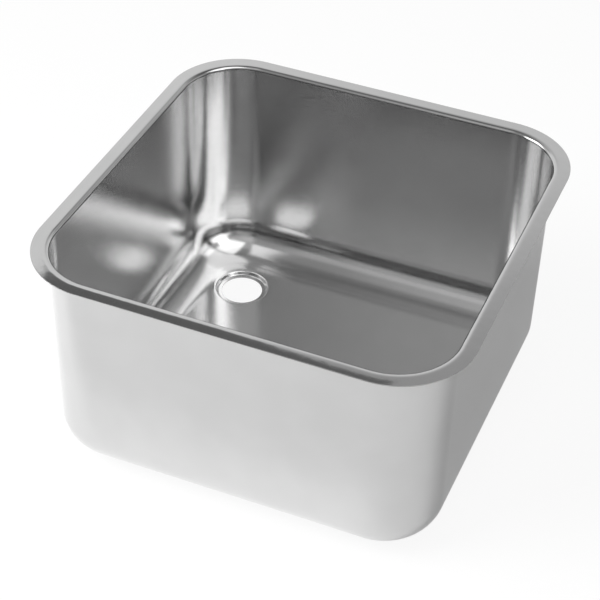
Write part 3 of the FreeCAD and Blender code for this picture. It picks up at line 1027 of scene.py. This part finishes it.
@dataclass(frozen=True)
class DarkCard:
    """A card over the set that only reflections see: the dark band on the front flange.

    Each edge entry gives X, the card's far edge Y there, and how far it fades past that.
    """

    level: float = 1.5
    near: float = 0.72
    tone: float = 0.145
    edge: tuple[tuple[float, float, float], ...] = (
        (-1.05, 1.078, 0.02),
        (-0.96, 1.076, 0.02),
        (-0.81, 1.060, 0.02),
        (-0.66, 1.064, 0.03),
        (-0.59, 1.050, 0.05),
        (-0.50, 1.000, 0.08),
        (-0.42, 0.985, 0.06),
        (-0.32, 0.975, 0.03),
        (-0.20, 0.985, 0.03),
    )

    def make(self) -> bpy.types.Object:
        """Makes the card as strips from the near edge to the far edge and on to its fade.

        Returns:
            The card.
        """
        edge = np.array(self.edge)
        far = np.stack((np.full(len(edge), self.near), edge[:, 1], edge[:, 1] + edge[:, 2]))
        across = np.broadcast_to(edge[:, 0], far.shape)
        points = np.stack((across, far, np.full(far.shape, self.level)), axis=-1)
        shown = np.ones(far.shape)
        shown[-1] = 0.0
        numbers = np.arange(far.size).reshape(far.shape)
        quads = np.stack((numbers[:-1, :-1], numbers[:-1, 1:], numbers[1:, 1:], numbers[1:, :-1]), axis=-1)
        mesh = bpy.data.meshes.new("dark_card")
        mesh.from_pydata(points.reshape(-1, 3).tolist(), [], quads.reshape(-1, 4).tolist())
        mesh.attributes.new("shown", "FLOAT", "POINT").data.foreach_set("value", shown.ravel())
        material, bench = new_material("dark_card")
        share = bench.read("ShaderNodeAttribute", "Fac", {"attribute_name": "shown"})
        clear = bench.read("ShaderNodeBsdfTransparent", "BSDF")
        bench.finish(bench.blend(share.eased(0.0, 1.0), clear, bench.glow(self.tone)))
        mesh.materials.append(material)
        card = new_object("dark_card", mesh)
        card.visible_camera = False
        card.visible_diffuse = False
        card.visible_shadow = False
        card.visible_transmission = False
        return card


@dataclass(frozen=True)
class Change:
    """A smooth change: how much in all, and the two values between which it happens."""

    amount: float
    low: float
    high: float

    def at(self, place: Value) -> Value:
        """Gives how much of the change has come about at a place."""
        return self.amount * place.eased(self.low, self.high)


@dataclass(frozen=True)
class Floor:
    """The white floor, which glows in part to the camera and so keeps a soft shadow.

    For mirrored rays it is brighter at the foot of the front wall, from foot's two values
    of Y on, and foot_side takes that away between its two values of X.
    """

    half: float = 14.0
    paint: float = 0.88
    glow: float = 1.04
    seen_share: float = 0.85
    foot_glow: float = 1.3
    foot: Change = Change(0.68, -0.38, -0.24)
    foot_side: Change = Change(-1.0, 0.1, 0.26)

    def make(self) -> bpy.types.Object:
        """Lays the floor.

        Returns:
            The floor.
        """
        corners = ((-1.0, -1.0), (1.0, -1.0), (1.0, 1.0), (-1.0, 1.0))
        pale = shaded((1.0, 1.0, 1.0), self.paint)
        mesh = bpy.data.meshes.new("floor")
        mesh.from_pydata([(self.half * x, self.half * y, 0.0) for x, y in corners], [], [(0, 1, 2, 3)])
        material, bench = new_material("white_floor")
        paint = bench.read("ShaderNodeBsdfDiffuse", "BSDF", None, {"Color": pale})
        plain_floor = bench.blend(self.seen_share * bench.ray(Ray.CAMERA), paint, bench.glow(self.glow))
        wide, deep, _ = bench.axes(bench.read("ShaderNodeTexCoord", "Object"))
        foot = self.foot.at(deep) * (1.0 + self.foot_side.at(wide)) * bench.ray(Ray.GLOSSY)
        bench.finish(bench.blend(foot, plain_floor, bench.glow(self.foot_glow)))
        mesh.materials.append(material)
        floor = new_object("floor", mesh)
        return floor


@dataclass(frozen=True)
class Room:
    """The surroundings: white to the camera and a soft room to every other ray.

    A tone depends on the X, Y and Z of the ray's unit direction. The rear half is white at
    the horizon and darkens to the right and overhead. The fore half is dark at the horizon,
    lighter above it, and has a roof of its own tone that darkens at the zenith.
    """

    rear_tone: float = 0.86
    rear_middle: Change = Change(-0.12, -0.42, -0.2)
    rear_right: Change = Change(-0.42, 0.34, 0.6)
    rear_high: Change = Change(-0.45, 0.54, 0.68)
    rear_high_side: Change = Change(1.0, -0.38, -0.24)
    rear_top: Change = Change(-0.7, 0.7, 0.84)
    horizon: Change = Change(1.0, 0.0, 0.3)
    fore_low: float = 0.2
    fore_tone: float = 0.36
    fore_middle: Change = Change(0.3, -0.36, -0.2)
    fore_right: Change = Change(-0.12, 0.1, 0.4)
    fore_rise: Change = Change(1.0, 0.42, 0.54)
    roof_tone: float = 0.26
    roof_middle: Change = Change(0.24, -0.3, -0.22)
    roof_rise: Change = Change(1.0, 0.67, 0.74)
    zenith: Change = Change(-0.4, 0.9, 0.97)
    turn: Change = Change(1.0, -0.15, 0.25)
    diffuse_loss: float = 0.42

    def tone(self, bench: Bench) -> Value:
        """Works out the room's tone from the ray's direction.

        Args:
            bench: The world's bench.

        Returns:
            The tone.
        """
        wide, deep, high = bench.axes(bench.read("ShaderNodeTexCoord", "Generated"))
        rear = self.rear_tone + self.rear_middle.at(wide) + self.rear_right.at(wide)
        rear = rear * (1.0 + self.rear_high.at(high) * self.rear_high_side.at(wide))
        rear = rear * (1.0 + self.rear_top.at(high))
        above = self.horizon.at(high)
        rear = 1.0 - above + rear * above
        fore = self.fore_tone + self.fore_middle.at(wide) + self.fore_right.at(wide)
        fore = self.fore_low + (fore - self.fore_low) * self.fore_rise.at(high)
        roof = self.roof_tone + self.roof_middle.at(wide)
        fore = fore + (roof - fore) * self.roof_rise.at(high)
        fore = fore * (1.0 + self.zenith.at(high))
        return fore + self.turn.at(deep) * (rear - fore)

    def make(self) -> None:
        """Makes the world, which gives diffuse rays a little less than mirrored ones."""
        world = bpy.data.worlds.new("soft_studio")
        world.use_nodes = True
        bpy.context.scene.world = world
        bench = Bench(world.node_tree)
        seen, spread = bench.ray(Ray.CAMERA), bench.ray(Ray.DIFFUSE)
        strength = seen + (1.0 - seen) * self.tone(bench) * (1.0 - self.diffuse_loss * spread)
        values = {"Color": WHITE, "Strength": strength}
        ground = bench.read("ShaderNodeBackground", "Background", None, values)
        bench.lay("ShaderNodeOutputWorld", None, {"Surface": ground})


@dataclass(frozen=True)
class Camera:
    """The camera: its place in metres, the way it lies from the set, its roll and its lens."""

    eye: tuple[float, float, float] = (0.539479, -1.369774, 1.349653)
    azimuth: float = math.radians(21.80955)
    elevation: float = math.radians(39.52839)
    roll: float = math.radians(1.68679)
    lens: float = 102.3413
    sensor: float = 36.0

    def make(self) -> bpy.types.Object:
        """Sets the camera up: azimuth turns it from the front to the right.

        Returns:
            The camera.
        """
        data = bpy.data.cameras.new("camera")
        data.lens = self.lens
        data.sensor_width = self.sensor
        data.clip_start, data.clip_end = 0.05, 60.0
        camera = new_object("camera", data)
        aim = Euler((QUARTER - self.elevation, 0.0, self.azimuth)).to_matrix().to_4x4()
        aim = aim @ Matrix.Rotation(self.roll, 4, "Z")
        camera.matrix_world = Matrix.Translation(Vector(self.eye)) @ aim
        bpy.context.scene.camera = camera
        return camera


@dataclass
class Studio:
    """The floor, the surroundings, the lamps, the dark card and the camera.

    The windows show in the steel. The key only lights the floor and what is matt.
    """

    camera: Camera = Camera()
    floor: Floor = Floor()
    room: Room = Room()
    windows: tuple[Panel, ...] = (
        Panel("left_window", (-1.8, -0.98, 1.42), (0.0, 0.96, 0.0), (0.0, 0.0, -0.80), 3.45),
        Panel("right_window", (1.8, -0.78, 1.75), (0.0, 0.58, 0.0), (0.0, 0.0, 0.45), 2.0),
        Panel("top_window", (0.88, -0.55, 2.07), (0.90, 0.0, 0.0), (0.0, 0.95, 0.0), 1.2),
    )
    key: Panel = Panel("key", (-1.5, -1.5, 2.3), (0.55, -0.55, 0.0), (0.4, 0.4, 0.52), 5.8)
    dark_card: DarkCard = DarkCard()

    def build(self) -> list[bpy.types.Object]:
        """Sets up the whole studio.

        Returns:
            The camera, the floor, the lamps and the card.
        """
        bpy.context.scene.view_settings.view_transform = "Standard"
        self.room.make()
        windows = [window.make() for window in self.windows]
        key = self.key.make()
        key.visible_glossy = False
        return [self.camera.make(), self.floor.make(), *windows, key, self.dark_card.make()]


def main() -> None:
    """Builds the studio and each piece in order, and reports each."""
    logging.basicConfig(level=logging.INFO, format="%(name)s: %(message)s")
    for item in Studio().build():
        LOG.info("stage: %s", item.name)
    steel, edge = SatinSteel().make(), CutSteelPaintedShade().make()
    deck = SatinSteel("flange_steel", shine=0.055, wave_depth=3.0e-5).make()
    bowl = Bowl()
    LOG.info("bowl: %d faces", len(bowl.build(steel, edge, deck).data.polygons))
    pad = DampingPad().build(bowl, DampingRubber().make())
    LOG.info("pad: %d faces", len(pad.data.polygons))
    LOG.info("earth bond: %s", ", ".join(EarthBond().dress(steel)))


if __name__ == "__main__":
    main()
